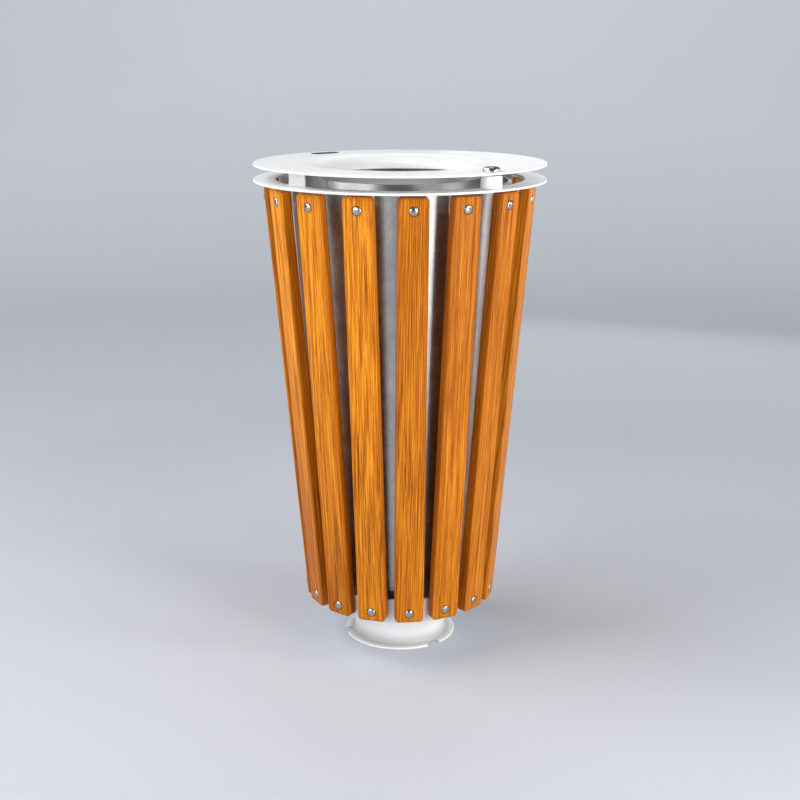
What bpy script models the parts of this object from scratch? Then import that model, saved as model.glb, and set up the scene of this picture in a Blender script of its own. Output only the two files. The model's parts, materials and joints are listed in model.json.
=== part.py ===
"""Conical slatted litter bin.

A slotted base flange and a spun steel foot carry sixteen leaning hardwood slats.  Their tops are
screwed to tabs that hang from a flat steel ring.  A ring-shaped lid with a shallow funnel swivels
about a post on that ring, and a galvanised bucket stands inside on a round platform.

Units are metres, +Z is up, and the origin is the centre of the foot's underside.  The lid's pivot
is on the +X side.
"""
import math

import bmesh
import bpy
from mathutils import Matrix, Vector

# --- Driving dimensions -----------------------------------------------------------------------
GAP = 0.0003                 # clearance left between pieces that touch
SHEET = 0.004                # steel plate of the lid, the slat ring and the foot

LID_RADIUS = 0.260
LID_TOP = 0.893
FUNNEL_RADIUS = 0.183        # where the lid's flat rim begins to dip
THROAT_RADIUS = 0.140
THROAT_BOTTOM = 0.8675
THROAT_PULL = (0.142, 0.884)       # (radius, height) of the funnel curve's two handles
RIM_PULL = (0.161, 0.893)
GRIP_SLOT_RADIUS = 0.225     # distance of the slot from the bin's axis
GRIP_SLOT_LENGTH = 0.056
GRIP_SLOT_WIDTH = 0.020
LINER_WALL = 0.0016          # moulded liner that lines the slot
LINER_LIP = 0.0018           # how far its lip reaches over the lid
LINER_LIP_HEIGHT = 0.0006

RING_TOP = 0.865
RING_INNER_RADIUS = 0.221
TAB_WIDTH = 0.048
TAB_THICKNESS = 0.003
TAB_BOTTOM = 0.824
REST_TAB_WIDTH = 0.046       # the one tab that is folded up, under the lid
REST_TAB_AZIMUTH = -90.0

SLAT_COUNT = 16
SLAT_WIDTH = 0.052
SLAT_THICKNESS = 0.020
SLAT_TOP_Z = 0.856
SLAT_BOTTOM_Z = 0.086
SLAT_TOP_RADIUS = 0.2423     # outer face, at the slat's middle line
SLAT_BOTTOM_RADIUS = 0.1756
SLAT_EDGE = 0.005            # rounding of the slat's edges
TOP_SCREW_Z = 0.8335
BOTTOM_SCREW_Z = 0.1035

SCREW_HEAD_RADIUS = 0.0078
SCREW_HEAD_HEIGHT = 0.0042
SCREW_SHANK_RADIUS = 0.004
SCREW_LENGTH = 0.033
SCREW_HOLE_RADIUS = 0.0045
COUNTERBORE_RADIUS = 0.0086
COUNTERBORE_DEPTH = 0.0022

FLANGE_RADIUS = 0.104
NECK_RADIUS = 0.086
NECK_TOP_Z = 0.044
NECK_PULL_Z = 0.068          # handles of the curve from the neck to the cup
CUP_PULL = (0.146, 0.058)
WELD_FILLET = 0.004          # between the flange and the neck
FLANGE_INNER_RADIUS = 0.078
CUP_BOTTOM_Z = 0.086
CUP_TOP_Z = 0.1235
NOTCH_COUNT = 3
NOTCH_WIDTH = 0.025
NOTCH_INNER_RADIUS = 0.0895
NOTCH_CORNER_RADIUS = 0.005

PIVOT_X = 0.239
POST_RADIUS = 0.018
BOLT_RADIUS = 0.006
BOLT_HEAD_RADIUS = 0.0152
BOLT_HEAD_HEIGHT = 0.0095
BOLT_HEAD_LAND = 0.0015      # straight side of the head, below its dome
BOLT_BOTTOM_Z = 0.867
BOLT_HOLE_RADIUS = 0.0065
WASHER_RADIUS = 0.017
WASHER_THICKNESS = 0.0015

BUCKET_WALL = 0.002
BUCKET_BOTTOM_RADIUS = 0.140
BUCKET_TOP_RADIUS = 0.1945
BUCKET_BOTTOM_Z = 0.130
BUCKET_TOP_Z = 0.862
BUCKET_BEAD = 0.004          # how far the rolled rim stands out
BUCKET_CORNER = 0.004        # bevel between the bucket's floor and wall

PLATFORM_RADIUS = 0.118
PLATFORM_SHEET = 0.003
PLATFORM_SKIRT_BOTTOM_Z = 0.060

HANDLE_WIRE_RADIUS = 0.0035
HANDLE_SPAN = 0.100
HANDLE_DROP = 0.060
HANDLE_CORNER = 0.012
HANDLE_ELBOW = 0.002
HANDLE_SIDE_CLEARANCE = 0.001
HANDLE_AXIS_RADIUS = 0.171
HANDLE_AXIS_Z = 0.812
EAR_THICKNESS = 0.006
EAR_HEIGHT = 0.016
EAR_HOLE_RADIUS = 0.0041
EAR_OVERLAP = 0.0004         # how far an ear runs into the bucket wall
HANDLE_AZIMUTHS = {"handle_a": 90.0, "handle_b": -90.0}

PLATE_SEGMENTS = 72
FOOT_SEGMENTS = 48
BUCKET_SEGMENTS = 48
SMALL_SEGMENTS = 20
SCREW_SEGMENTS = 8
COUNTERBORE_SEGMENTS = 12

# --- Values worked out from them ----------------------------------------------------------------
RING_BOTTOM = RING_TOP - SHEET
LID_BOTTOM = LID_TOP - SHEET
SLAT_TILT = math.atan2(SLAT_TOP_RADIUS - SLAT_BOTTOM_RADIUS, SLAT_TOP_Z - SLAT_BOTTOM_Z)
FIXING_DEPTH = SLAT_THICKNESS + 3 * SHEET
NECK_INNER_RADIUS = NECK_RADIUS - SHEET
SLAT_STEP = math.tau / SLAT_COUNT
FIRST_SLAT = SLAT_STEP / 2


def slat_outer_radius(z):
    """Radius of a slat's outer face at height z, on the slat's middle line."""
    return SLAT_BOTTOM_RADIUS + (z - SLAT_BOTTOM_Z) * math.tan(SLAT_TILT)


def slat_inner_radius(z):
    """Radius of a slat's back at height z, on the slat's middle line."""
    return slat_outer_radius(z) - SLAT_THICKNESS / math.cos(SLAT_TILT)


# --- Scene helpers --------------------------------------------------------------------------------
def clear_scene():
    for obj in list(bpy.data.objects):
        bpy.data.objects.remove(obj, do_unlink=True)


def make_material(name, colour, roughness, metallic):
    material = bpy.data.materials.new(name)
    material.use_nodes = True
    shader = material.node_tree.nodes["Principled BSDF"]
    shader.inputs["Base Color"].default_value = (*colour, 1.0)
    shader.inputs["Roughness"].default_value = roughness
    shader.inputs["Metallic"].default_value = metallic
    return material


def add_object(name, mesh, material=None, parent=None, matrix=None):
    """Put mesh in the scene.  matrix is the world placement, whatever the parent is."""
    obj = bpy.data.objects.new(name, mesh)
    bpy.context.scene.collection.objects.link(obj)
    if material and not mesh.materials:
        mesh.materials.append(material)
    if parent:
        obj.parent = parent
    place(obj, matrix or Matrix.Identity(4))
    return obj


def place(obj, matrix):
    if obj.parent:
        matrix = obj.parent.matrix_world.inverted() @ matrix
    obj.matrix_local = matrix
    bpy.context.view_layer.update()


def add_empty(name, location):
    empty = bpy.data.objects.new(name, None)
    bpy.context.scene.collection.objects.link(empty)
    empty.location = location
    bpy.context.view_layer.update()
    return empty


def mesh_from(name, bm, smooth_angle=None):
    bmesh.ops.recalc_face_normals(bm, faces=bm.faces)
    mesh = bpy.data.meshes.new(name)
    bm.to_mesh(mesh)
    bm.free()
    if smooth_angle is not None:
        mesh.shade_smooth()
        mesh.set_sharp_from_angle(angle=math.radians(smooth_angle))
    return mesh


# --- Outlines, as lists of (radius, height) -------------------------------------------------------
def bezier(start, first_handle, second_handle, end, count):
    """count points along a cubic curve, from start to end."""
    points = []
    for index in range(count):
        t = index / (count - 1)
        weights = ((1 - t) ** 3, 3 * t * (1 - t) ** 2, 3 * t * t * (1 - t), t ** 3)
        corners = (start, first_handle, second_handle, end)
        points.append(tuple(sum(w * c[axis] for w, c in zip(weights, corners)) for axis in (0, 1)))
    return points


def arc(centre, radius, start, end, count):
    """count points on an arc, angles in degrees from the +radius direction."""
    points = []
    for index in range(count):
        angle = math.radians(start + (end - start) * index / (count - 1))
        points.append((centre[0] + radius * math.cos(angle), centre[1] + radius * math.sin(angle)))
    return points


def dome(rim, seat, height, steps):
    """Quarter of an ellipse, from the rim of a domed head to the middle of its top."""
    turns = [math.pi / 2 * step / steps for step in range(steps)]
    points = [(rim * math.cos(turn), seat + height * math.sin(turn)) for turn in turns]
    return points + [(0.0, seat + height)]


def sheet_section(path, thickness):
    """Closed outline of a sheet whose one face follows path.  It lies to the left of the path."""
    other_side = []
    for index, point in enumerate(path):
        before = Vector(path[max(index - 1, 0)])
        after = Vector(path[min(index + 1, len(path) - 1)])
        along = (after - before).normalized()
        here = Vector(point)
        arms = [(here - before).normalized(), (after - here).normalized()]
        arms = [arm for arm in arms if arm.length > 0.5]
        stretch = 1.0 / max(along.dot(arms[0]), 0.5)
        other_side.append(tuple(here + Vector((-along.y, along.x)) * thickness * stretch))
    return list(path) + other_side[::-1]


# --- Shapes -----------------------------------------------------------------------------------------
def turned(name, outline, segments, smooth_angle=35):
    """Solid of revolution about Z.  The outline is closed, or starts and ends on the axis."""
    bm = bmesh.new()
    verts = [bm.verts.new((radius, 0.0, height)) for radius, height in outline]
    edges = [bm.edges.new(pair) for pair in zip(verts, verts[1:])]
    if outline[0][0] > 0:
        edges.append(bm.edges.new((verts[-1], verts[0])))
    bmesh.ops.spin(bm, geom=verts + edges, axis=(0, 0, 1), cent=(0, 0, 0), angle=math.tau,
                   steps=segments, use_merge=True)
    bmesh.ops.remove_doubles(bm, verts=bm.verts, dist=1e-6)
    return mesh_from(name, bm, smooth_angle)


def box(name, low, high):
    bm = bmesh.new()
    bmesh.ops.create_cube(bm, size=1.0)
    size = Vector(high) - Vector(low)
    centre = (Vector(high) + Vector(low)) / 2
    bmesh.ops.scale(bm, vec=size, verts=bm.verts)
    bmesh.ops.translate(bm, vec=centre, verts=bm.verts)
    return mesh_from(name, bm)


def rounded_prism(name, low, high, radius, segments):
    """Upright box whose four vertical edges are rounded."""
    mesh = box(name, low, high)
    bm = bmesh.new()
    bm.from_mesh(mesh)
    upright = [e for e in bm.edges if abs(e.verts[0].co.z - e.verts[1].co.z) > 1e-6]
    bmesh.ops.bevel(bm, geom=upright, offset=radius, segments=segments, affect="EDGES",
                    profile=0.5, clamp_overlap=True)
    bmesh.ops.remove_doubles(bm, verts=bm.verts, dist=1e-6)
    bmesh.ops.recalc_face_normals(bm, faces=bm.faces)
    bm.to_mesh(mesh)
    bm.free()
    return mesh


def cylinder(name, radius, low, high, segments):
    return turned(name, [(0.0, low), (radius, low), (radius, high), (0.0, high)], segments)


def add_boolean(target, tool_mesh, operation, matrix=None):
    """Cut tool_mesh out of target, or join it on, with a Boolean modifier."""
    tool = add_object(tool_mesh.name, tool_mesh, parent=target.parent, matrix=matrix)
    tool.hide_render = True
    tool.display_type = "WIRE"
    modifier = target.modifiers.new(tool_mesh.name, "BOOLEAN")
    modifier.operation = operation
    modifier.solver = "EXACT"
    modifier.object = tool


def merged(name, meshes_and_matrices):
    """One mesh that holds several separate shapes, for use as a single tool."""
    bm = bmesh.new()
    for mesh, matrix in meshes_and_matrices:
        part = mesh.copy()
        part.transform(matrix)
        bm.from_mesh(part)
        bpy.data.meshes.remove(part)
    result = bpy.data.meshes.new(name)
    bm.to_mesh(result)
    bm.free()
    return result


def baked_mesh(obj):
    """The object's mesh with its modifiers applied.  The object and its tools are removed."""
    bpy.context.view_layer.update()
    depsgraph = bpy.context.evaluated_depsgraph_get()
    mesh = bpy.data.meshes.new_from_object(obj.evaluated_get(depsgraph))
    for modifier in obj.modifiers:
        bpy.data.objects.remove(modifier.object, do_unlink=True)
    bpy.data.objects.remove(obj, do_unlink=True)
    return mesh


# --- Placements ---------------------------------------------------------------------------------------
def around(azimuth):
    return Matrix.Rotation(azimuth, 4, "Z")


def slat_frame(azimuth, z):
    """Frame on a slat's outer face at height z: X outward, Y across the slat, Z up along it."""
    point = Matrix.Translation((slat_outer_radius(z), 0.0, z))
    return around(azimuth) @ point @ Matrix.Rotation(SLAT_TILT, 4, "Y")


def slat_azimuths():
    return [FIRST_SLAT + index * SLAT_STEP for index in range(SLAT_COUNT)]


# --- The pieces -----------------------------------------------------------------------------------------
def build_base_flange(coat):
    """Flat ring that stands on the ground, with three open slots for anchor bolts."""
    outline = [(FLANGE_RADIUS, SHEET), (FLANGE_RADIUS, 0.0),
               (FLANGE_INNER_RADIUS, 0.0), (FLANGE_INNER_RADIUS, SHEET)]
    flange = add_object("base_flange", turned("base_flange", outline, FOOT_SEGMENTS), coat)
    notch = rounded_prism("notch_tool", (NOTCH_INNER_RADIUS, -NOTCH_WIDTH / 2, -SHEET),
                          (FLANGE_RADIUS + NOTCH_WIDTH, NOTCH_WIDTH / 2, 2 * SHEET),
                          NOTCH_CORNER_RADIUS, 3)
    turns = [around(math.tau * index / NOTCH_COUNT) for index in range(NOTCH_COUNT)]
    add_boolean(flange, merged("flange_notches", [(notch, turn) for turn in turns]), "DIFFERENCE")


def build_foot(coat):
    """Neck and cup, spun from one sheet, with the weld's fillet at the neck's lower edge."""
    seat = SHEET + GAP
    cup_edge = [(slat_inner_radius(z) - GAP, z) for z in (CUP_BOTTOM_Z, CUP_TOP_Z)]
    outline = [(NECK_RADIUS + WELD_FILLET, seat)]
    outline += arc((NECK_RADIUS + WELD_FILLET, seat + WELD_FILLET), WELD_FILLET, 250, 180, 3)
    outer = bezier((NECK_RADIUS, NECK_TOP_Z), (NECK_RADIUS, NECK_PULL_Z), CUP_PULL, cup_edge[0], 6)
    wall = sheet_section(outer + cup_edge[1:], SHEET)
    outline += wall + [(NECK_INNER_RADIUS, seat)]
    foot = add_object("foot", turned("foot", outline, FOOT_SEGMENTS), coat)
    add_boolean(foot, screw_holes("foot_screw_holes", BOTTOM_SCREW_Z), "DIFFERENCE")


def screw_holes(name, z):
    """Sixteen drills, one along each slat's screw."""
    drill = cylinder("drill", SCREW_HOLE_RADIUS, -FIXING_DEPTH, GAP, SCREW_SEGMENTS)
    lie_down = Matrix.Rotation(math.pi / 2, 4, "Y")
    return merged(name, [(drill, slat_frame(azimuth, z) @ lie_down) for azimuth in slat_azimuths()])


def build_platform(zinc):
    """Round seat for the bucket, on a skirt that stands in the foot's neck."""
    skirt_radius = NECK_INNER_RADIUS - GAP
    top = BUCKET_BOTTOM_Z - GAP
    under = top - PLATFORM_SHEET
    inner = skirt_radius - PLATFORM_SHEET
    outline = [(0.0, top), (PLATFORM_RADIUS, top), (PLATFORM_RADIUS, under), (skirt_radius, under),
               (skirt_radius, PLATFORM_SKIRT_BOTTOM_Z), (inner, PLATFORM_SKIRT_BOTTOM_Z),
               (inner, under), (0.0, under)]
    add_object("bucket_platform", turned("bucket_platform", outline, FOOT_SEGMENTS), zinc)


def build_slat_ring(coat):
    """Flat ring with sixteen tabs folded down behind the slats and one folded up for the lid."""
    outline = [(LID_RADIUS, RING_TOP), (LID_RADIUS, RING_BOTTOM),
               (RING_INNER_RADIUS, RING_BOTTOM), (RING_INNER_RADIUS, RING_TOP)]
    ring = add_object("slat_ring", turned("slat_ring", outline, PLATE_SEGMENTS), coat)
    back = -SLAT_THICKNESS - GAP
    tab = box("tab_tool", (back - TAB_THICKNESS, -TAB_WIDTH / 2, TAB_BOTTOM - TOP_SCREW_Z),
              (back, TAB_WIDTH / 2, RING_TOP - SHEET / 2 - TOP_SCREW_Z))
    tabs = [(tab, slat_frame(azimuth, TOP_SCREW_Z)) for azimuth in slat_azimuths()]
    rest = box("rest_tool", (RING_INNER_RADIUS + GAP, -REST_TAB_WIDTH / 2, RING_TOP - SHEET / 2),
               (RING_INNER_RADIUS + GAP + TAB_THICKNESS, REST_TAB_WIDTH / 2, LID_BOTTOM - GAP))
    tabs.append((rest, around(math.radians(REST_TAB_AZIMUTH))))
    add_boolean(ring, merged("slat_ring_tabs", tabs), "UNION")
    add_boolean(ring, screw_holes("tab_screw_holes", TOP_SCREW_Z), "DIFFERENCE")


def build_slats(wood):
    """Sixteen equal boards with rounded edges, drilled and counterbored for a screw at each end."""
    up = (SLAT_TOP_Z - TOP_SCREW_Z) / math.cos(SLAT_TILT)
    down = (TOP_SCREW_Z - SLAT_BOTTOM_Z) / math.cos(SLAT_TILT)
    pattern = add_object("slat_pattern", box("slat_pattern", (-SLAT_THICKNESS, -SLAT_WIDTH / 2, -down),
                                             (0.0, SLAT_WIDTH / 2, up)), wood)
    bm = bmesh.new()
    bm.from_mesh(pattern.data)
    bmesh.ops.bevel(bm, geom=bm.edges[:], offset=SLAT_EDGE, segments=2, affect="EDGES", profile=0.5)
    bm.to_mesh(pattern.data)
    bm.free()
    drill = cylinder("drill", SCREW_HOLE_RADIUS, -2 * SLAT_THICKNESS, SLAT_THICKNESS, SCREW_SEGMENTS)
    sink = cylinder("sink", COUNTERBORE_RADIUS, -COUNTERBORE_DEPTH, SLAT_THICKNESS, COUNTERBORE_SEGMENTS)
    lie_down = Matrix.Rotation(math.pi / 2, 4, "Y")
    spread = (TOP_SCREW_Z - BOTTOM_SCREW_Z) / math.cos(SLAT_TILT)
    spots = [Matrix.Translation((0, 0, -drop)) @ lie_down for drop in (0.0, spread)]
    add_boolean(pattern, merged("slat_screw_holes", [(drill, spot) for spot in spots]), "DIFFERENCE")
    add_boolean(pattern, merged("slat_counterbores", [(sink, spot) for spot in spots]), "DIFFERENCE")
    mesh = baked_mesh(pattern)
    mesh.name = "slat"
    for number, azimuth in enumerate(slat_azimuths(), start=1):
        add_object(f"slat_{number:02d}", mesh, wood, matrix=slat_frame(azimuth, TOP_SCREW_Z))


def build_slat_screws(steel):
    """Dome-headed screws in their counterbores, one at the top and one at the bottom of each slat."""
    outline = [(0.0, -SCREW_LENGTH), (SCREW_SHANK_RADIUS, -SCREW_LENGTH), (SCREW_SHANK_RADIUS, GAP)]
    outline += dome(SCREW_HEAD_RADIUS, GAP, SCREW_HEAD_HEIGHT - GAP, 3)
    mesh = turned("slat_screw", outline, SCREW_SEGMENTS, smooth_angle=50)
    seated = Matrix.Rotation(math.pi / 2, 4, "Y") @ Matrix.Translation((0, 0, -COUNTERBORE_DEPTH))
    for number, azimuth in enumerate(slat_azimuths(), start=1):
        for end, z in (("top", TOP_SCREW_Z), ("bottom", BOTTOM_SCREW_Z)):
            matrix = slat_frame(azimuth, z) @ seated
            add_object(f"{end}_screw_{number:02d}", mesh, steel, matrix=matrix)


def build_lid(coat):
    """Flat rim that dips into an open throat, with a grip slot opposite the pivot."""
    hinge = add_empty("lid_hinge", (PIVOT_X, 0, LID_BOTTOM))
    path = bezier((THROAT_RADIUS, THROAT_BOTTOM), THROAT_PULL, RIM_PULL, (FUNNEL_RADIUS, LID_TOP), 6)
    path.append((LID_RADIUS, LID_TOP))
    on_hinge = Matrix.Translation(hinge.location)
    mesh = turned("lid", sheet_section(path, -SHEET), PLATE_SEGMENTS)
    mesh.transform(on_hinge.inverted())
    lid = add_object("lid", mesh, coat, parent=hinge, matrix=on_hinge)
    slot = slot_prism("grip_slot", 0.0, LID_BOTTOM - SHEET, LID_TOP + SHEET)
    add_boolean(lid, slot, "DIFFERENCE")
    bolt_hole = cylinder("lid_bolt_hole", BOLT_HOLE_RADIUS, LID_BOTTOM - SHEET, LID_TOP + SHEET,
                         SMALL_SEGMENTS)
    add_boolean(lid, bolt_hole, "DIFFERENCE", Matrix.Translation((PIVOT_X, 0, 0)))
    return hinge


def slot_prism(name, margin, low, high):
    """Upright solid in the grip slot's outline, larger than the slot by margin all round."""
    half_length = GRIP_SLOT_LENGTH / 2 + margin
    half_width = GRIP_SLOT_WIDTH / 2 + margin
    return rounded_prism(name, (-GRIP_SLOT_RADIUS - half_width, -half_length, low),
                         (-GRIP_SLOT_RADIUS + half_width, half_length, high), half_width - GAP, 5)


def build_grip_liner(nylon, hinge):
    """Liner pressed into the grip slot, with a lip that rests on the lid."""
    seat = LID_TOP + GAP
    top = seat + LINER_LIP_HEIGHT
    liner = add_object("grip_liner", slot_prism("grip_liner", -GAP, LID_BOTTOM, top), nylon, parent=hinge)
    lip = slot_prism("grip_lip", LINER_LIP, seat, top)
    opening = slot_prism("grip_opening", -GAP - LINER_WALL, LID_BOTTOM - SHEET, top + SHEET)
    add_boolean(liner, lip, "UNION")
    add_boolean(liner, opening, "DIFFERENCE")


def build_pivot(coat, chrome, nylon):
    """Post, nylon washer and dome-headed bolt that the lid turns on.  The bolt screws into the post."""
    at_pivot = Matrix.Translation((PIVOT_X, 0, 0))
    washer_top = LID_BOTTOM - GAP
    washer_bottom = washer_top - WASHER_THICKNESS
    bore = BOLT_RADIUS + GAP
    for name, radius, low, high, material in (
            ("pivot_post", POST_RADIUS, RING_TOP + GAP, washer_bottom - GAP, coat),
            ("pivot_washer", WASHER_RADIUS, washer_bottom, washer_top, nylon)):
        outline = [(radius, high), (radius, low), (bore, low), (bore, high)]
        add_object(name, turned(name, outline, SMALL_SEGMENTS), material, matrix=at_pivot)

    seat = LID_TOP + GAP
    outline = [(0.0, BOLT_BOTTOM_Z), (BOLT_RADIUS, BOLT_BOTTOM_Z), (BOLT_RADIUS, seat),
               (BOLT_HEAD_RADIUS, seat)]
    outline += dome(BOLT_HEAD_RADIUS, seat + BOLT_HEAD_LAND, BOLT_HEAD_HEIGHT - BOLT_HEAD_LAND, 4)
    add_object("pivot_bolt", turned("pivot_bolt", outline, SMALL_SEGMENTS, 50), chrome, matrix=at_pivot)


def bucket_radius(z):
    """Outer radius of the bucket's wall at height z."""
    share = (z - BUCKET_BOTTOM_Z) / (BUCKET_TOP_Z - BUCKET_BOTTOM_Z)
    return BUCKET_BOTTOM_RADIUS + (BUCKET_TOP_RADIUS - BUCKET_BOTTOM_RADIUS) * share


def handle_frame(azimuth):
    """Frame on a bucket handle's hinge line: X outward, Y along the line."""
    return around(math.radians(azimuth)) @ Matrix.Translation((HANDLE_AXIS_RADIUS, 0, HANDLE_AXIS_Z))


def build_bucket(zinc):
    """Tapered bucket with a rolled rim and, for each handle, a pair of ears inside."""
    lift = add_empty("bucket_lift", (0, 0, BUCKET_BOTTOM_Z))
    bead = BUCKET_BEAD
    inner_top = BUCKET_TOP_RADIUS - BUCKET_WALL
    inner_bottom = BUCKET_BOTTOM_RADIUS - BUCKET_WALL
    floor_z = BUCKET_BOTTOM_Z + BUCKET_WALL
    outline = [(0.0, BUCKET_BOTTOM_Z), (BUCKET_BOTTOM_RADIUS - BUCKET_CORNER, BUCKET_BOTTOM_Z),
               (BUCKET_BOTTOM_RADIUS, BUCKET_BOTTOM_Z + BUCKET_CORNER),
               (BUCKET_TOP_RADIUS, BUCKET_TOP_Z - 2 * bead)]
    outline += arc((BUCKET_TOP_RADIUS, BUCKET_TOP_Z - bead), bead, -60, 90, 4)
    outline += [(inner_top, BUCKET_TOP_Z - bead / 2), (inner_bottom, floor_z + BUCKET_CORNER),
                (inner_bottom - BUCKET_CORNER, floor_z), (0.0, floor_z)]
    to_floor = Matrix.Translation(lift.location)
    mesh = turned("bucket", outline, BUCKET_SEGMENTS)
    mesh.transform(to_floor.inverted())
    bucket = add_object("bucket", mesh, zinc, parent=lift, matrix=to_floor)

    ear_places = []
    hole_places = []
    wall_x = math.sqrt((bucket_radius(HANDLE_AXIS_Z) - BUCKET_WALL) ** 2 - (HANDLE_SPAN / 2) ** 2)
    reach = wall_x + EAR_OVERLAP - HANDLE_AXIS_RADIUS
    ear = box("ear_tool", (-EAR_HEIGHT / 2, -EAR_THICKNESS / 2, -EAR_HEIGHT / 2),
              (reach, EAR_THICKNESS / 2, EAR_HEIGHT / 2))
    drill = cylinder("ear_drill", EAR_HOLE_RADIUS, -EAR_THICKNESS, EAR_THICKNESS, SCREW_SEGMENTS)
    along_hinge = Matrix.Rotation(math.pi / 2, 4, "X")
    for azimuth in HANDLE_AZIMUTHS.values():
        for side in (-1, 1):
            spot = handle_frame(azimuth) @ Matrix.Translation((0, side * HANDLE_SPAN / 2, 0))
            ear_places.append((ear, spot))
            hole_places.append((drill, spot @ along_hinge))
    add_boolean(bucket, merged("bucket_ears", ear_places), "UNION")
    add_boolean(bucket, merged("ear_holes", hole_places), "DIFFERENCE")
    return lift


def build_handle(name, azimuth, zinc, lift):
    """Drop handle of round wire.  Its ends turn outward into the ears."""
    pin = HANDLE_SPAN / 2 + EAR_THICKNESS / 2 - GAP
    leg = HANDLE_SPAN / 2 - EAR_THICKNESS / 2 - HANDLE_WIRE_RADIUS - HANDLE_SIDE_CLEARANCE
    corner = HANDLE_CORNER
    route = [(pin, 0.0), (leg + HANDLE_ELBOW, 0.0), (leg, -HANDLE_ELBOW), (leg, corner - HANDLE_DROP)]
    route += arc((leg - corner, corner - HANDLE_DROP), corner, -30, -90, 3)
    route += [(-across, height) for across, height in reversed(route)]
    curve = bpy.data.curves.new(name, "CURVE")
    curve.dimensions = "3D"
    curve.bevel_depth = HANDLE_WIRE_RADIUS
    curve.bevel_resolution = 2
    curve.use_fill_caps = True
    spline = curve.splines.new("POLY")
    spline.points.add(len(route) - 1)
    for point, (across, height) in zip(spline.points, route):
        point.co = (0.0, across, height, 1.0)
    curve.materials.append(zinc)
    handle = bpy.data.objects.new(name, curve)
    bpy.context.scene.collection.objects.link(handle)
    handle.parent = lift
    place(handle, handle_frame(azimuth))


def main():
    clear_scene()
    coat = make_material("white_powder_coat", (0.86, 0.86, 0.85), 0.38, 0.0)
    wood = make_material("varnished_oak", (0.62, 0.25, 0.04), 0.35, 0.0)
    zinc = make_material("galvanised_steel", (0.58, 0.59, 0.60), 0.42, 1.0)
    steel = make_material("stainless_steel", (0.62, 0.62, 0.63), 0.28, 1.0)
    chrome = make_material("polished_chrome", (0.75, 0.75, 0.76), 0.12, 1.0)
    nylon = make_material("black_nylon", (0.03, 0.03, 0.03), 0.55, 0.0)

    build_base_flange(coat)
    build_foot(coat)
    build_platform(zinc)
    build_slat_ring(coat)
    build_slats(wood)
    build_slat_screws(steel)
    hinge = build_lid(coat)
    build_grip_liner(nylon, hinge)
    build_pivot(coat, chrome, nylon)
    lift = build_bucket(zinc)
    for name, azimuth in HANDLE_AZIMUTHS.items():
        build_handle(name, azimuth, zinc, lift)


main()
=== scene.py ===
"""Looks of the conical slatted litter bin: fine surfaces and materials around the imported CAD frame.

Units are metres, in the CAD frame: +Z is up, the origin is the centre of the foot's underside and the
lid's pivot is on the +X side.  Azimuths are measured from +X, anticlockwise seen from above.
"""
import json
import math
import random

import bmesh
import bpy
from mathutils import Matrix, Vector


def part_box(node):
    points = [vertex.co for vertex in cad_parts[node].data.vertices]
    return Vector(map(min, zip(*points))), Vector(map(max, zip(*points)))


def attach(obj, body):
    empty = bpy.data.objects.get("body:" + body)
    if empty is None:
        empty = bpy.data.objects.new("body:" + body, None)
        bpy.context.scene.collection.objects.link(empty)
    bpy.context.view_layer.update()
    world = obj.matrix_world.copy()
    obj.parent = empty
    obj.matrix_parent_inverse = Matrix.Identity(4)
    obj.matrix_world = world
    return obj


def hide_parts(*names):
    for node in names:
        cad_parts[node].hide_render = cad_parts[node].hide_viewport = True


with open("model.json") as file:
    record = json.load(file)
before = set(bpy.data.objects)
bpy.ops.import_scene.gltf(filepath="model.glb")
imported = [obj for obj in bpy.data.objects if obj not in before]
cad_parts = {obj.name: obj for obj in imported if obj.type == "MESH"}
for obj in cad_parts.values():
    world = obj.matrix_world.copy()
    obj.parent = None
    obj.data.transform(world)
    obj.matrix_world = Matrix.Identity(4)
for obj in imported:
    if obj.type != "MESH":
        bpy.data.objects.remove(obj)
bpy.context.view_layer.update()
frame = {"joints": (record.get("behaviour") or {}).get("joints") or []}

# --- Dimensions read from the frame ---
LID_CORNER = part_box("lid")[1]
BUCKET_LOW, BUCKET_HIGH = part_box("bucket")
JOINTS = {joint["name"]: joint for joint in frame["joints"]}
PIVOT_X = JOINTS["lid_swivel"]["pos_m"][0]
HANDLE_AXIS_RADIUS = JOINTS["handle_a_fold"]["pos_m"][1]
HANDLE_AXIS_Z = JOINTS["handle_a_fold"]["pos_m"][2]
LID_RADIUS = LID_CORNER.x
LID_TOP = LID_CORNER.z
BUCKET_BOTTOM_Z = BUCKET_LOW.z
BUCKET_TOP_Z = BUCKET_HIGH.z

# --- Dimensions shared with the CAD model ---
GAP = 0.0003                 # running clearance between neighbouring solids
SHEET = 0.004                # steel plate of the lid, the ring and the foot
LID_BOTTOM = LID_TOP - SHEET
FUNNEL_RADIUS = 0.183
THROAT_RADIUS = 0.140
THROAT_BOTTOM_Z = 0.8675
GRIP_SLOT_RADIUS = 0.225
GRIP_SLOT_LENGTH = 0.056
GRIP_SLOT_WIDTH = 0.020
LINER_WALL = 0.0016
LINER_LIP = 0.0018
LINER_LIP_HEIGHT = 0.0006
RING_TOP = 0.865
RING_BOTTOM = RING_TOP - SHEET
RING_INNER_RADIUS = 0.221
TAB_WIDTH = 0.048
TAB_THICKNESS = 0.003
TAB_BOTTOM_Z = 0.824
REST_TAB_WIDTH = 0.046
REST_TAB_AZIMUTH = math.radians(-90)
SLAT_COUNT = 16
SLAT_WIDTH = 0.052
SLAT_THICKNESS = 0.020
SLAT_TOP_RADIUS = 0.2423
SLAT_BOTTOM_RADIUS = 0.1756
SLAT_TOP_Z = 0.856
SLAT_BOTTOM_Z = 0.086
SLAT_TILT = math.atan2(SLAT_TOP_RADIUS - SLAT_BOTTOM_RADIUS, SLAT_TOP_Z - SLAT_BOTTOM_Z)
TOP_SCREW_Z = 0.8335
BOTTOM_SCREW_Z = 0.1035
SCREW_LENGTH = 0.033
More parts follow.
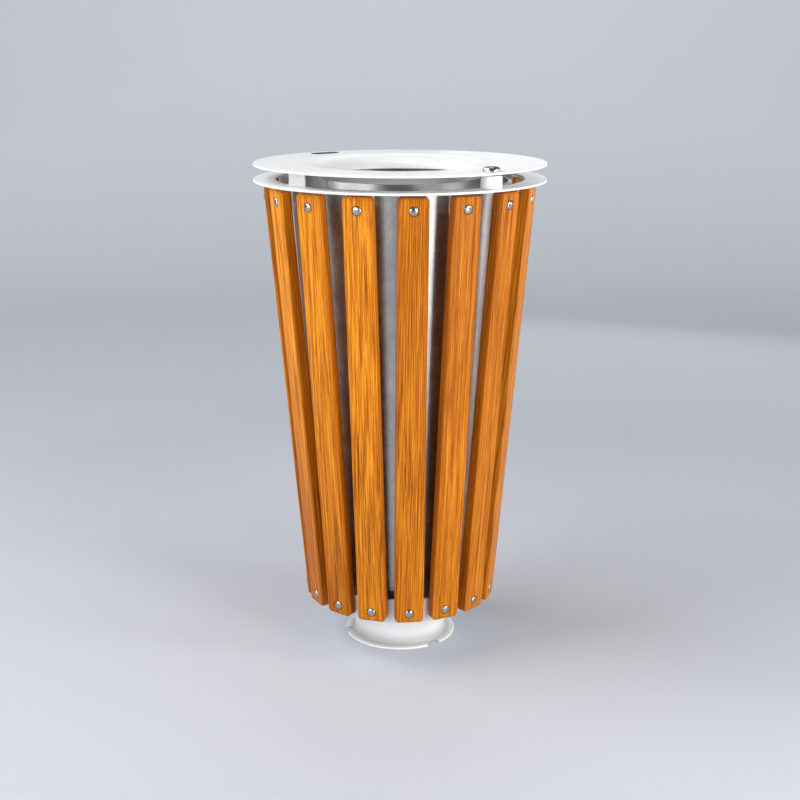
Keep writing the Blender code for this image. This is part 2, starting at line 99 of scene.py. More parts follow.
SCREW_SHANK_RADIUS = 0.004
SCREW_HEAD_RADIUS = 0.0078
SCREW_HEAD_HEIGHT = 0.0042
COUNTERBORE_RADIUS = 0.0086
COUNTERBORE_DEPTH = 0.0022
FLANGE_RADIUS = 0.104
NECK_RADIUS = 0.086
NECK_TOP_Z = 0.044
CUP_BOTTOM_Z = 0.086
CUP_TOP_Z = 0.1235
NOTCH_COUNT = 3
NOTCH_WIDTH = 0.025
NOTCH_INNER_RADIUS = 0.0895
POST_RADIUS = 0.018
WASHER_RADIUS = 0.017
WASHER_THICKNESS = 0.0015
PIVOT_HOLE_RADIUS = 0.0065
BOLT_RADIUS = 0.006
BOLT_HEAD_RADIUS = 0.0152
BOLT_HEAD_HEIGHT = 0.0095
BUCKET_BOTTOM_RADIUS = 0.140
BUCKET_TOP_RADIUS = 0.1945
BUCKET_WALL = 0.0016
BUCKET_BEAD = 0.004
PLATFORM_RADIUS = 0.118
PLATFORM_SKIRT_BOTTOM_Z = 0.060
PLATFORM_SHEET = 0.003
HANDLE_SPAN = 0.100
HANDLE_DROP = 0.060
HANDLE_WIRE_RADIUS = 0.0035

# --- Camera and light ---
CAMERA_AZIMUTH = math.radians(-39.12)
CAMERA_DISTANCE = 2.4992
CAMERA_HEIGHT = 1.1153
CAMERA_PITCH = math.radians(14.797)
CAMERA_LENS = 62.716         # in millimetres, on a sensor of SENSOR_WIDTH
SENSOR_WIDTH = 36.0
SKY_COLOUR = (0.95, 0.97, 1.0)
SKY_AS_LIGHT = 0.11
SKY_AS_BACKGROUND = 0.45
LAMP_AIM_Z = 0.45
TOP_LAMP_AIM_Z = 0.9
# Name, degrees to the right of the camera, degrees above the level, distance, width, height, watts.
SIDE_SOFTBOXES = (
    ("left_softbox", -62, 14, 3.2, 1.5, 1.8, 32),
    ("left_upper_softbox", -70, 45, 3.2, 1.5, 1.5, 42),
    ("left_rear_softbox", -105, 38, 3.2, 1.5, 1.5, 45),
    ("near_left_softbox", -30, 14, 3.0, 1.0, 1.2, 23),
    ("right_strip", 41.5, 12, 2.6, 0.86, 1.7, 50),
    ("right_softbox", 70, 26, 3.0, 0.7, 0.9, 27),
    ("right_low_softbox", 100, 12, 3.0, 1.2, 1.5, 15),
    ("rear_softbox", 172, 38, 3.0, 1.8, 1.2, 7),
    ("rear_low_softbox", 160, 8, 3.0, 1.8, 1.0, 5.5),
)
TOP_SOFTBOX = ("top_softbox", 0, 88, 1.7, 1.3, 1.3, 3.5)


def make_camera():
    """Camera above the bin's height, with the lid's pivot on its right and the slot at the back left."""
    data = bpy.data.cameras.new("camera")
    data.lens = CAMERA_LENS
    data.sensor_width = SENSOR_WIDTH
    camera = bpy.data.objects.new("camera", data)
    bpy.context.scene.collection.objects.link(camera)
    camera.location = (CAMERA_DISTANCE * math.cos(CAMERA_AZIMUTH),
                       CAMERA_DISTANCE * math.sin(CAMERA_AZIMUTH), CAMERA_HEIGHT)
    camera.rotation_euler = (math.pi / 2 - CAMERA_PITCH, 0.0, CAMERA_AZIMUTH + math.pi / 2)
    bpy.context.scene.camera = camera


def add_softbox(name, right_of_camera, elevation, distance, width, height, power, aim_z=LAMP_AIM_Z):
    """Rectangular lamp, placed by its angles as seen from the bin and turned to face it."""
    azimuth = CAMERA_AZIMUTH + math.radians(right_of_camera)
    lift = math.radians(elevation)
    data = bpy.data.lights.new(name, "AREA")
    data.shape = "RECTANGLE"
    data.size = width
    data.size_y = height
    data.energy = power
    lamp = bpy.data.objects.new(name, data)
    bpy.context.scene.collection.objects.link(lamp)
    level = math.cos(lift)
    away = Vector((math.cos(azimuth) * level, math.sin(azimuth) * level, math.sin(lift)))
    lamp.location = Vector((0, 0, aim_z)) + away * distance
    lamp.rotation_euler = away.to_track_quat("Z", "Y").to_euler()


def make_studio():
    """Even sky and a ring of softboxes.  The sky is dim as a light and pale as a background."""
    world = bpy.data.worlds.new("studio")
    world.use_nodes = True
    background = world.node_tree.nodes["Background"]
    background.inputs["Color"].default_value = (*SKY_COLOUR, 1.0)
    path = world.node_tree.nodes.new("ShaderNodeLightPath")
    glow = world.node_tree.nodes.new("ShaderNodeMapRange")
    glow.inputs["To Min"].default_value = SKY_AS_LIGHT
    glow.inputs["To Max"].default_value = SKY_AS_BACKGROUND
    world.node_tree.links.new(path.outputs["Is Camera Ray"], glow.inputs["Value"])
    world.node_tree.links.new(glow.outputs["Result"], background.inputs["Strength"])
    bpy.context.scene.world = world
    bpy.context.scene.view_settings.view_transform = "Standard"
    for softbox in SIDE_SOFTBOXES:
        add_softbox(*softbox)
    add_softbox(*TOP_SOFTBOX, aim_z=TOP_LAMP_AIM_Z)


# --- Materials ---
class Shading:
    """A material's node tree, with short ways to add nodes and join them."""

    def __init__(self, name):
        self.material = bpy.data.materials.new(name)
        self.material.use_nodes = True
        self.tree = self.material.node_tree
        self.shader = self.tree.nodes["Principled BSDF"]

    def node(self, kind, inputs=None, **settings):
        """A new node.  An input is a socket to link from, or a value."""
        node = self.tree.nodes.new(kind)
        for key, value in settings.items():
            setattr(node, key, value)
        for key, value in (inputs or {}).items():
            if isinstance(value, bpy.types.NodeSocket):
                self.tree.links.new(value, node.inputs[key])
            else:
                node.inputs[key].default_value = value
        return node

    def link(self, source, name):
        self.tree.links.new(source, self.shader.inputs[name])

    def fixed(self, **values):
        """Values set on the shader's own sockets, underscores standing for spaces."""
        for key, value in values.items():
            self.shader.inputs[key.replace("_", " ")].default_value = value

    def place(self):
        """The piece's own coordinates, in metres."""
        return self.node("ShaderNodeTexCoord").outputs["Object"]

    def stretched(self, vector, scale):
        return self.node("ShaderNodeMapping", {"Vector": vector, "Scale": scale}).outputs["Vector"]

    def noise(self, vector, scale=1.0, detail=3.0, roughness=0.5, output="Fac"):
        node = self.node("ShaderNodeTexNoise", {"Vector": vector, "Scale": scale, "Detail": detail,
                                                "Roughness": roughness})
        return node.outputs[output]

    def ramp(self, factor, stops):
        """Colour ramp from (position, colour or grey) pairs."""
        node = self.node("ShaderNodeValToRGB", {"Fac": factor})
        elements = node.color_ramp.elements
        while len(elements) < len(stops):
            elements.new(0.5)
        for element, (position, colour) in zip(elements, stops):
            element.position = position
            if isinstance(colour, (int, float)):
                colour = (colour, colour, colour)
            element.color = (*colour, 1.0)
        return node.outputs["Color"]

    def range(self, value, low, high, to_low, to_high):
        """value carried from low..high to to_low..to_high, and held at the ends."""
        node = self.node("ShaderNodeMapRange", {"Value": value, "From Min": low, "From Max": high,
                                                "To Min": to_low, "To Max": to_high})
        return node.outputs["Result"]

    def math(self, operation, first, second):
        return self.node("ShaderNodeMath", {0: first, 1: second}, operation=operation).outputs[0]

    def vector_math(self, operation, first, second):
        node = self.node("ShaderNodeVectorMath", {0: first, 1: second}, operation=operation)
        return node.outputs["Vector"]

    def length(self, vector):
        return self.node("ShaderNodeVectorMath", {0: vector}, operation="LENGTH").outputs["Value"]

    def mix(self, factor, first, second, blend="MIX"):
        """Two colours mixed.  Sockets 0, 6 and 7 of the node are its factor, A and B for colours."""
        node = self.node("ShaderNodeMix", data_type="RGBA", blend_type=blend)
        for socket, value in ((node.inputs[0], factor), (node.inputs[6], first), (node.inputs[7], second)):
            if isinstance(value, bpy.types.NodeSocket):
                self.tree.links.new(value, socket)
            else:
                socket.default_value = value if isinstance(value, (int, float)) else (*value, 1.0)
        return node.outputs[2]

    def bump(self, height, distance, strength, normal=None):
        """Relief of the given depth in metres, on top of normal where there is one."""
        inputs = {"Height": height, "Distance": distance, "Strength": strength}
        if normal:
            inputs["Normal"] = normal
        return self.node("ShaderNodeBump", inputs).outputs["Normal"]


def powder_coat():
    """White polyester powder coat: fine orange peel, faint mottling, and painted shade on the foot's
    flange.
    """
    look = Shading("white_powder_coat")
    place = look.place()
    mottle = look.noise(place, scale=22.0, detail=4.0, roughness=0.6)
    speckle = look.noise(place, scale=900.0, detail=2.0)
    peel = look.noise(place, scale=420.0, detail=2.0, roughness=0.4)
    tint = look.ramp(mottle, [(0.30, (0.765, 0.77, 0.765)), (0.70, (0.82, 0.82, 0.815))])
    fleck = look.ramp(speckle, [(0.36, 0.90), (0.48, 1.0)])
    paint = look.mix(0.5, tint, fleck, "MULTIPLY")

    # Painted shade: darkest in the flange's corner with the neck, lighter out across the flange, and none
    # on the flange's edge.
    radius = look.length(look.vector_math("MULTIPLY", place, (1.0, 1.0, 0.0)))
    height = look.node("ShaderNodeSeparateXYZ", {"Vector": place}).outputs["Z"]
    low = look.range(height, SHEET + 0.001, SHEET + 0.022, 1.0, 0.0)
    inward = look.range(radius, NECK_RADIUS + 0.005, FLANGE_RADIUS - 0.002, 0.75, 0.30)
    off_edge = look.range(radius, FLANGE_RADIUS - 0.0012, FLANGE_RADIUS - 0.0006, 1.0, 0.0)
    painted_shade = look.math("MULTIPLY", look.math("MULTIPLY", low, inward), off_edge)

    # The painted shade greys the coat on the flange under the bin.
    look.link(look.mix(painted_shade, paint, (0.30, 0.295, 0.28)), "Base Color")
    look.link(look.range(mottle, 0.3, 0.7, 0.30, 0.40), "Roughness")
    fine = look.bump(speckle, 0.00004, 0.6)
    look.link(look.bump(peel, 0.00012, 0.7, fine), "Normal")
    look.fixed(IOR=1.5, Coat_Weight=0.15, Coat_Roughness=0.12)
    return look.material


def varnished_oak():
    """Golden oak under satin varnish.

    Each board's mesh carries its own coordinates round the tree's pith ("grain", in metres), a tone that is
    partly its own lightness and partly painted light and shade, and a mask of its rounded edges.  Every
    noise is stretched along the grain.
    """
    look = Shading("varnished_oak")
    grain = look.node("ShaderNodeAttribute", attribute_name="grain").outputs["Vector"]
    tone_and_lighting = look.node("ShaderNodeAttribute", attribute_name="tone_and_lighting").outputs["Fac"]
    edge = look.node("ShaderNodeAttribute", attribute_name="edge").outputs["Fac"]

    # The rings wander sideways by a few millimetres along the board.
    wander = look.noise(look.stretched(grain, (22.0, 22.0, 3.0)), detail=2.0, output="Color")
    offset = look.vector_math("SUBTRACT", wander, (0.5, 0.5, 0.5))
    shift = look.vector_math("MULTIPLY", offset, (0.004, 0.004, 0.0))
    bent = look.vector_math("ADD", grain, shift)
    rings = look.node("ShaderNodeTexWave", {"Vector": bent, "Scale": 120.0, "Distortion": 1.2,
                                            "Detail": 3.0, "Detail Scale": 0.5},
                      wave_type="RINGS", rings_direction="Z", wave_profile="SIN").outputs["Fac"]
    broad = look.noise(look.stretched(bent, (60.0, 60.0, 3.0)), detail=2.0)
    streaks = look.noise(look.stretched(bent, (620.0, 620.0, 6.0)), detail=3.0, roughness=0.65)
    fibres = look.noise(look.stretched(bent, (1100.0, 1100.0, 16.0)), detail=3.0, roughness=0.7)
    pores = look.noise(look.stretched(bent, (620.0, 620.0, 7.0)), detail=2.0, roughness=0.6)
    checks = look.noise(look.stretched(bent, (230.0, 230.0, 5.0)), detail=2.0)
    blotch = look.noise(look.stretched(grain, (14.0, 14.0, 3.5)), detail=2.0)

    fine = look.math("ADD", look.math("MULTIPLY", streaks, 0.62), look.math("MULTIPLY", fibres, 0.22))
    coarse = look.math("ADD", look.math("MULTIPLY", rings, 0.08), look.math("MULTIPLY", broad, 0.08))
    figure = look.math("ADD", fine, coarse)
    colour = look.ramp(figure, [(0.39, (0.25, 0.054, 0.002)), (0.45, (0.42, 0.112, 0.004)),
                                (0.52, (0.56, 0.172, 0.007)), (0.60, (0.72, 0.262, 0.014))])

    # Pores open in the late wood, and a few long checks run with the grain.
    late_wood = look.range(rings, 0.30, 0.95, 0.45, 1.0)
    pore_mask = look.math("MULTIPLY", look.range(pores, 0.42, 0.35, 0.0, 1.0), late_wood)
    check_mask = look.range(checks, 0.33, 0.29, 0.0, 0.80)
    dark_mask = look.math("MAXIMUM", look.math("MULTIPLY", pore_mask, 0.75), check_mask)
    colour = look.mix(dark_mask, colour, (0.14, 0.026, 0.001))
    colour = look.mix(1.0, colour, look.ramp(blotch, [(0.3, 0.90), (0.7, 1.03)]), "MULTIPLY")

    # A darker board is redder too.  The tone holds each board's own lightness and painted light and shade.
    depth = look.math("POWER", tone_and_lighting, 1.35)
    tint = look.node("ShaderNodeCombineColor", {"Red": tone_and_lighting, "Green": depth, "Blue": depth})
    colour = look.mix(1.0, colour, tint.outputs["Color"], "MULTIPLY")
    # Darker band along the rounded edges: partly wear, partly painted shade.
    worn_and_shaded = look.math("MULTIPLY", edge, look.range(fibres, 0.35, 0.65, 0.05, 0.35))
    look.link(look.mix(worn_and_shaded, colour, (0.30, 0.060, 0.002)), "Base Color")

    look.link(look.range(fibres, 0.3, 0.7, 0.34, 0.50), "Roughness")
    relief = look.math("SUBTRACT", look.math("MULTIPLY", fibres, 0.5), dark_mask)
    look.link(look.bump(relief, 0.00015, 0.6), "Normal")
    look.fixed(IOR=1.45, Specular_IOR_Level=0.15, Coat_Weight=0.03, Coat_Roughness=0.25)
    return look.material


def galvanised_steel():
    """Hot-dip zinc: soft spangle, each crystal with its own grey and gloss, and faint white bloom."""
    look = Shading("galvanised_steel")
    place = look.place()
    push = look.noise(place, scale=90.0, output="Color")
    shift = look.vector_math("MULTIPLY", push, (0.010, 0.010, 0.010))
    warped = look.vector_math("ADD", place, shift)
    crystal = look.node("ShaderNodeTexVoronoi", {"Vector": warped, "Scale": 95.0})
    value = look.node("ShaderNodeSeparateColor", {"Color": crystal.outputs["Color"]}).outputs["Red"]
    cloud = look.noise(place, scale=16.0, detail=4.0, roughness=0.6)
    grey = look.ramp(value, [(0.0, (0.55, 0.545, 0.535)), (1.0, (0.66, 0.655, 0.64))])
    bloom = look.ramp(cloud, [(0.35, 0.86), (0.68, 1.05)])
    look.link(look.mix(1.0, grey, bloom, "MULTIPLY"), "Base Color")
    look.link(look.range(value, 0.0, 1.0, 0.38, 0.45), "Roughness")

    grain = look.noise(place, scale=700.0, detail=2.0)
    rolled = look.noise(look.stretched(place, (45.0, 45.0, 900.0)), detail=2.0)
    tilt = look.bump(value, 0.00002, 0.4)
    ripple = look.bump(rolled, 0.00006, 0.6, tilt)
    look.link(look.bump(grain, 0.00002, 0.4, ripple), "Normal")
    # The sheet was rolled round the bucket, so its gloss is drawn out up and down the wall.
    tangent = look.node("ShaderNodeTangent", direction_type="RADIAL", axis="Z").outputs["Tangent"]
    look.link(tangent, "Tangent")
    look.fixed(Metallic=1.0, Anisotropic=0.75, Anisotropic_Rotation=0.25)
    return look.material


def bright_metal(name, colour, low_roughness, high_roughness, scratch):
    """Machined metal with fine turning marks, scratch metres deep, and faint smears."""
    look = Shading(name)
    place = look.place()
    marks = look.noise(look.stretched(place, (900.0, 900.0, 4200.0)), detail=3.0)
    smear = look.noise(place, scale=160.0, detail=3.0)
    dulled = tuple(0.92 * part for part in colour)
    look.link(look.ramp(smear, [(0.3, dulled), (0.7, colour)]), "Base Color")
    look.link(look.range(smear, 0.3, 0.7, low_roughness, high_roughness), "Roughness")
    look.link(look.bump(marks, scratch, 0.5), "Normal")
    look.fixed(Metallic=1.0)
    return look.material


def black_nylon():
    """Moulded nylon with a fine, matt texture."""
    look = Shading("black_nylon")
    cloud = look.noise(look.place(), scale=300.0, detail=3.0)
    look.link(look.ramp(cloud, [(0.3, 0.055), (0.7, 0.080)]), "Base Color")
    look.link(look.range(cloud, 0.3, 0.7, 0.48, 0.62), "Roughness")
    look.link(look.bump(cloud, 0.00004, 0.5), "Normal")
    return look.material


def pale_floor():
    """Matt studio paper, with a glow that rises away from the bin so that no view sees it end dark."""
    look = Shading("pale_floor")
    place = look.place()
    cloud = look.noise(place, scale=1.5, detail=3.0)
    look.link(look.ramp(cloud, [(0.3, (0.455, 0.475, 0.52)), (0.7, (0.47, 0.49, 0.535))]), "Base Color")
    look.link(look.range(look.length(place), 1.5, 5.0, 0.0, 0.34), "Emission Strength")
    look.fixed(Roughness=0.75, Emission_Color=(0.90, 0.95, 1.0, 1.0))
    return look.material


# --- Outlines, as lists of (across, up) ---
def bezier(start, first_handle, second_handle, end, count):
    """count points along a cubic curve, from start to end."""
    points = []
    for index in range(count):
        t = index / (count - 1)
        weights = ((1 - t) ** 3, 3 * t * (1 - t) ** 2, 3 * t * t * (1 - t), t ** 3)
        corners = (start, first_handle, second_handle, end)
        points.append(tuple(sum(w * c[axis] for w, c in zip(weights, corners)) for axis in (0, 1)))
    return points


def arc(centre, radius, start, end, count):
    """count points on an arc, angles in degrees from the first axis."""
    points = []
    for index in range(count):
        angle = math.radians(start + (end - start) * index / (count - 1))
        points.append((centre[0] + radius * math.cos(angle), centre[1] + radius * math.sin(angle)))
    return points


def sheet_section(path, thickness):
    """Closed outline of a sheet whose one face follows path.  It lies to the left of the path."""
    other_side = []
    for index, point in enumerate(path):
        before = Vector(path[max(index - 1, 0)])
        after = Vector(path[min(index + 1, len(path) - 1)])
        along = (after - before).normalized()
        here = Vector(point)
        arms = [(here - before).normalized(), (after - here).normalized()]
        arms = [arm for arm in arms if arm.length > 0.5]
        stretch = 1.0 / max(along.dot(arms[0]), 0.5)
        other_side.append(tuple(here + Vector((-along.y, along.x)) * thickness * stretch))
    return list(path) + other_side[::-1]


def rounded_outline(points, radius, steps=4, closed=True, least_turn=50.0):
    """The outline with each corner sharper than least_turn degrees rounded off."""
    result = []
    count = len(points)
    for index, point in enumerate(points):
        if not closed and index in (0, count - 1):
            result.append(point)
            continue
        here = Vector(point)
        back = Vector(points[index - 1]) - here
        ahead = Vector(points[(index + 1) % count]) - here
        turn = math.degrees(math.pi - back.angle(ahead))
        if turn < least_turn:
            result.append(point)
            continue
        half = (math.pi - math.radians(turn)) / 2
        setback = min(radius / math.tan(half), 0.48 * back.length, 0.48 * ahead.length)
        first = here + back.normalized() * setback
        last = here + ahead.normalized() * setback
        for step in range(steps + 1):
            t = step / steps
            bend = first * (1 - t) ** 2 + here * 2 * t * (1 - t) + last * t * t
            result.append(tuple(bend))
    return result


# --- Mesh helpers ---
TOUCHING = 1e-6              # points nearer than this are one point


def to_mesh(name, bm, smooth_angle=40.0):
    """Mesh with its normals outward, smooth but for edges sharper than smooth_angle degrees."""
    bmesh.ops.recalc_face_normals(bm, faces=bm.faces)
    mesh = bpy.data.meshes.new(name)
    bm.to_mesh(mesh)
    bm.free()
    smooth(mesh, smooth_angle)
    return mesh


def smooth(mesh, angle=40.0):
    """Smooth shading, but for edges sharper than angle degrees."""
    mesh.shade_smooth()
    mesh.set_sharp_from_angle(angle=math.radians(angle))


def turned(name, outline, segments=192):
    """Solid of revolution about Z.  The outline is closed, or starts and ends on the axis."""
    bm = bmesh.new()
    verts = [bm.verts.new((radius, 0.0, height)) for radius, height in outline]
    edges = [bm.edges.new(pair) for pair in zip(verts, verts[1:])]
    if outline[0][0] > 0:
        edges.append(bm.edges.new((verts[-1], verts[0])))
    bmesh.ops.spin(bm, geom=verts + edges, axis=(0, 0, 1), cent=(0, 0, 0), angle=math.tau,
                   steps=segments, use_merge=True)
    bmesh.ops.remove_doubles(bm, verts=bm.verts, dist=TOUCHING)
    return to_mesh(name, bm)


def extruded(name, outline, width, edge):
    """Outline in the XZ plane, carried along Y to both sides of it, with its two rims rounded."""
    bm = bmesh.new()
    near = [bm.verts.new((across, -width / 2, up)) for across, up in outline]
    face = bm.faces.new(near)
    moved = bmesh.ops.extrude_face_region(bm, geom=[face])
    far = [item for item in moved["geom"] if isinstance(item, bmesh.types.BMVert)]
    bmesh.ops.translate(bm, vec=(0, width, 0), verts=far)
    bmesh.ops.recalc_face_normals(bm, faces=bm.faces)
    rims = [e for e in bm.edges if abs(e.verts[0].co.y - e.verts[1].co.y) < TOUCHING]
    bmesh.ops.bevel(bm, geom=rims, offset=edge, segments=2, affect="EDGES", profile=0.5)
    return to_mesh(name, bm, 30.0)


def loft(name, sections):
    """Closed solid through matching rings of points, one ring above another."""
    bm = bmesh.new()
    rings = [[bm.verts.new(point) for point in section] for section in sections]
    for lower, upper in zip(rings, rings[1:]):
        for index in range(len(lower)):
            following = (index + 1) % len(lower)
            bm.faces.new((lower[index], lower[following], upper[following], upper[index]))
    bm.faces.new(rings[0][::-1])
    bm.faces.new(rings[-1])
    return to_mesh(name, bm)


def joined(name, parts):
    """One mesh from (mesh, matrix) pairs."""
    bm = bmesh.new()
    for mesh, matrix in parts:
        copy = mesh.copy()
        copy.transform(matrix)
        bm.from_mesh(copy)
        bpy.data.meshes.remove(copy)
    return to_mesh(name, bm)


def drill_mesh(radius, low, high, segments):
    """Round tool along Z, for cutting a hole."""
    return turned("drill", [(0.0, low), (radius, low), (radius, high), (0.0, high)], segments)


def combined(mesh, tool_mesh, operation):
    """mesh with the tool cut out of it, or joined on."""
    base = bpy.data.objects.new("base", mesh)
    tool = bpy.data.objects.new("tool", tool_mesh)
    for obj in (base, tool):
        bpy.context.scene.collection.objects.link(obj)
    modifier = base.modifiers.new("tool", "BOOLEAN")
    modifier.operation = operation
    modifier.solver = "EXACT"
    modifier.object = tool
    bpy.context.view_layer.update()
    depsgraph = bpy.context.evaluated_depsgraph_get()
    result = bpy.data.meshes.new_from_object(base.evaluated_get(depsgraph))
    for obj in (base, tool):
        bpy.data.objects.remove(obj, do_unlink=True)
    smooth(result)
    return result


def add_piece(name, mesh, material, body, replaces=(), matrix=None, flat_faces=False):
    """A finished piece: material, the body it rides on and the CAD nodes it stands for.

    flat_faces keeps large faces flat up to their rounded edges.
    """
    piece = bpy.data.objects.new(name, mesh)
    bpy.context.scene.collection.objects.link(piece)
    if not mesh.materials:
        mesh.materials.append(material)
    if matrix:
        piece.matrix_world = matrix
    if flat_faces:
        weighted = piece.modifiers.new("flat faces", "WEIGHTED_NORMAL")
        weighted.keep_sharp = True
        weighted.weight = 80
    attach(piece, body)
    if replaces:
        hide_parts(*replaces)


# --- Placements ---
def around(azimuth):
    """Turn about the bin's axis."""
    return Matrix.Rotation(azimuth, 4, "Z")


def slat_outer_radius(z):
    return SLAT_BOTTOM_RADIUS + (z - SLAT_BOTTOM_Z) * math.tan(SLAT_TILT)


def slat_inner_radius(z):
    return slat_outer_radius(z) - SLAT_THICKNESS / math.cos(SLAT_TILT)


def slat_frame(azimuth, z):
    """Frame on a slat's outer face at height z: X outward, Y across the slat, Z up along it."""
    point = Matrix.Translation((slat_outer_radius(z), 0.0, z))
    return around(azimuth) @ point @ Matrix.Rotation(SLAT_TILT, 4, "Y")


def slat_azimuths():
    """Slats stand on both sides of the pivot, with none right under it."""
    return [(index + 0.5) * math.tau / SLAT_COUNT for index in range(SLAT_COUNT)]


FACE_OUT = Matrix.Rotation(math.pi / 2, 4, "Y")
AT_PIVOT = Matrix.Translation((PIVOT_X, 0, 0))


# --- Wooden slats ---
CORNER_RADIUS = 0.008        # of the board's outline, at its ends
ARRIS_RADIUS = 0.0035        # of its long edges
WORN_AND_SHADED_MARGIN = 0.004          # width of the darker band inside the arris, partly wear and partly painted shade
COUNTERBORE_FLARE = 0.0012   # by how much the counterbore's mouth widens at the board's face
GRAIN_LEAN = 0.8             # most that the grain leans from the board's axis, in degrees
# Lightness of each board at its upper and lower end, from slat_01 round to slat_16: partly the wood's own
# tone, partly painted light and shade.
UPPER_TONE_AND_LIGHTING = (0.86, 1.06, 0.96, 1.05, 0.98, 1.08, 0.95, 1.01,
               1.07, 1.02, 1.20, 1.46, 1.40, 1.34, 0.86, 0.86)
LOWER_TONE_AND_LIGHTING = (0.98, 1.06, 1.00, 1.01, 0.96, 1.04, 0.97, 0.98,
               0.98, 0.88, 0.84, 0.78, 0.86, 1.02, 1.08, 1.10)


def counterbore_mesh():
    """Tool that sinks a screw's head into a board's outer face, at x = 0."""
    depth = -COUNTERBORE_DEPTH
    half_flare = COUNTERBORE_FLARE / 2
    outline = [(0.0, depth), (COUNTERBORE_RADIUS, depth), (COUNTERBORE_RADIUS, -half_flare),
               (COUNTERBORE_RADIUS + COUNTERBORE_FLARE, half_flare), (0.0, half_flare)]
    drill = turned("counterbore", rounded_outline(outline, 0.0002, 2, closed=False), 40)
    drill.transform(FACE_OUT)
    return drill


def board_mesh(name, number):
    """One board, in the frame of its top screw, with the data that its grain needs on its points."""
    up = (SLAT_TOP_Z - TOP_SCREW_Z) / math.cos(SLAT_TILT)
    down = (TOP_SCREW_Z - SLAT_BOTTOM_Z) / math.cos(SLAT_TILT)
    bm = bmesh.new()
    bmesh.ops.create_cube(bm, size=1.0)
    bmesh.ops.scale(bm, vec=(SLAT_THICKNESS, SLAT_WIDTH, up + down), verts=bm.verts)
    bmesh.ops.translate(bm, vec=(-SLAT_THICKNESS / 2, 0, (up - down) / 2), verts=bm.verts)
    through = [e for e in bm.edges if abs(e.verts[0].co.x - e.verts[1].co.x) > TOUCHING]
    bmesh.ops.bevel(bm, geom=through, offset=CORNER_RADIUS, segments=8, affect="EDGES", profile=0.5)
    rims = [e for e in bm.edges if abs(e.verts[0].co.x - e.verts[1].co.x) < TOUCHING
            and len({round(f.normal.x) for f in e.link_faces}) == 2]
    bmesh.ops.bevel(bm, geom=rims, offset=ARRIS_RADIUS, segments=6, affect="EDGES", profile=0.5,
                    clamp_overlap=False)
    bm.normal_update()
    least_area = SLAT_WIDTH * (up + down) / 4
    faces = [f for f in bm.faces if abs(f.normal.x) > 0.999 and f.calc_area() > least_area]
    bmesh.ops.inset_region(bm, faces=faces, thickness=WORN_AND_SHADED_MARGIN, use_even_offset=True)
    mesh = to_mesh(name, bm, 60.0)
    spread = (TOP_SCREW_Z - BOTTOM_SCREW_Z) / math.cos(SLAT_TILT)
    drill = counterbore_mesh()
    spots = [Matrix.Translation((0, 0, -drop)) for drop in (0.0, spread)]
    mesh = combined(mesh, joined("counterbores", [(drill, spot) for spot in spots]), "DIFFERENCE")
    mesh.name = name
    add_grain(mesh, number, up, down)
    return mesh


def add_grain(mesh, number, up, down):
    """A board's grain, its tone with painted light and shade, and its edges darkened by wear and painted
    shade; up and down are its reach from its top screw.
    """
    dice = random.Random(number)
    pith = Vector((dice.uniform(-0.075, -0.030), dice.uniform(-0.030, 0.030), 0.0))
    lean = Matrix.Rotation(math.radians(dice.uniform(-GRAIN_LEAN, GRAIN_LEAN)), 4, "X")
    lean = lean @ Matrix.Rotation(math.radians(dice.uniform(-GRAIN_LEAN, GRAIN_LEAN)), 4, "Y")
    along = Vector((0.0, 0.0, dice.uniform(-9.0, 9.0)))
    # The board's tone, partly its own lightness and partly painted light and shade.
    upper_tone_and_lighting = UPPER_TONE_AND_LIGHTING[number - 1]
    lower_tone_and_lighting = LOWER_TONE_AND_LIGHTING[number - 1]
    half_width = SLAT_WIDTH / 2 - ARRIS_RADIUS - WORN_AND_SHADED_MARGIN / 2
    end_margin = CORNER_RADIUS / 2
    arris_back = ARRIS_RADIUS - SLAT_THICKNESS
    near_face = 1e-5
    for kind, label in (("FLOAT_VECTOR", "grain"), ("FLOAT", "tone_and_lighting"), ("FLOAT", "edge")):
        mesh.attributes.new(label, kind, "POINT")
    for index, vertex in enumerate(mesh.vertices):
        point = vertex.co
        share = (up - point.z) / (up + down)
        on_face = point.x > -near_face or point.x < near_face - SLAT_THICKNESS
        in_bore = point.x >= arris_back and abs(point.y) < COUNTERBORE_RADIUS * 1.3
        within = abs(point.y) < half_width and end_margin - down < point.z < up - end_margin
        mesh.attributes["grain"].data[index].vector = lean @ (point - pith) + along
        mesh.attributes["tone_and_lighting"].data[index].value = upper_tone_and_lighting + (lower_tone_and_lighting - upper_tone_and_lighting) * share
        mesh.attributes["edge"].data[index].value = 0.0 if within and (on_face or in_bore) else 1.0


def make_slats(wood):
    """Sixteen boards that lean outward, each set by its top screw."""
    for number, azimuth in enumerate(slat_azimuths(), start=1):
        mesh = board_mesh(f"board_{number:02d}", number)
        add_piece(f"board_{number:02d}", mesh, wood, "frame", [f"slat_{number:02d}"],
                  slat_frame(azimuth, TOP_SCREW_Z), flat_faces=True)


# --- Screws and nuts ---
SCREW_RIM_TOP = 0.0008       # the head's upright rim ends here
SCREW_DOME_START = 0.0010    # and its dome begins here
THREAD_CHAMFER = 0.001       # at the ends of the screws and of the pivot bolt
NUT_ACROSS_FLATS = 0.013
NUT_HEIGHT = 0.0065
NUT_BORE_RADIUS = 0.0042
TURN_BETWEEN_SCREWS = math.radians(37)


def dome_screw_mesh():
    """Screw along Z, its head's seat at z = 0."""
    rim = SCREW_HEAD_RADIUS
    height = SCREW_HEAD_HEIGHT
    shank = SCREW_SHANK_RADIUS
    head = [(rim, GAP), (rim, SCREW_RIM_TOP)]
    head += bezier((rim, SCREW_DOME_START), (rim * 0.96, height * 0.78), (rim * 0.55, height),
                   (0.0, height), 12)
    outline = [(0.0, -SCREW_LENGTH), (shank * 0.8, -SCREW_LENGTH), (shank, THREAD_CHAMFER - SCREW_LENGTH),
               (shank, GAP)]
    outline += rounded_outline(head, 0.0003, 2, closed=False)
    return turned("dome_screw", outline, 48)


